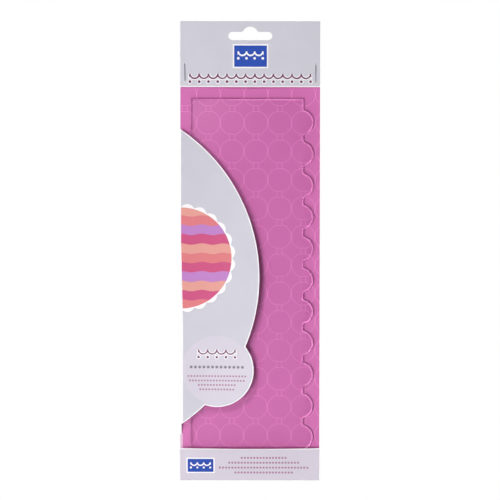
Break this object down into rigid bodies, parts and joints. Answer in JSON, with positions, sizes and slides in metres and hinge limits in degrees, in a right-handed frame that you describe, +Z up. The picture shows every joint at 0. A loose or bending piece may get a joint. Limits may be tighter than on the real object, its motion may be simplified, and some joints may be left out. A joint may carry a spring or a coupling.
{
  "type": "carded cake side scraper",
  "caption": "Clear acrylic comb with a scalloped long edge for ridging cake icing, held in a folded hang card with a curved front flap and stapled header.",
  "frame": {"origin": "top of the hang slot's hump, on the card's rear face, where a peg carries the card", "axes": "+Z up along the card as it hangs, +X to the right seen from the front, +Y out of the card's back"},
  "size_m": [0.098, 0.0073, 0.3222],
  "materials": {
    "acrylic": "polished",
    "card_inside": "satin",
    "card_outside": "satin",
    "staple_wire": "satin"
  },
  "bodies": {
    "card": {"back_panel": "card_inside", "header_flap": "card_outside", "staple_left": "staple_wire", "staple_right": "staple_wire"},
    "scraper": {"scraper": "acrylic"},
    "side_wall": {"side_wall": "card_inside"},
    "window_flap": {"window_flap": "card_outside"},
    "bottom_flap": {"bottom_flap": "card_outside"}
  },
  "joints": [
    {"name": "scraper_slide", "type": "slide", "parent": "card", "child": "scraper", "axis": [1, 0, 0], "range_m": [0, 0.095]},
    {"name": "side_wall_crease", "type": "hinge", "parent": "card", "child": "side_wall", "pos_m": [-0.0483, 0, -0.18], "axis": [0, 0, -1], "range_deg": [0, 90]},
    {"name": "window_flap_crease", "type": "hinge", "parent": "side_wall", "child": "window_flap", "pos_m": [-0.0483, -0.0045, -0.18], "axis": [0, 0, -1], "range_deg": [0, 90]},
    {"name": "bottom_flap_crease", "type": "hinge", "parent": "card", "child": "bottom_flap", "pos_m": [0, -0.0005, -0.3184], "axis": [1, 0, 0], "range_deg": [0, 165]}
  ]
}
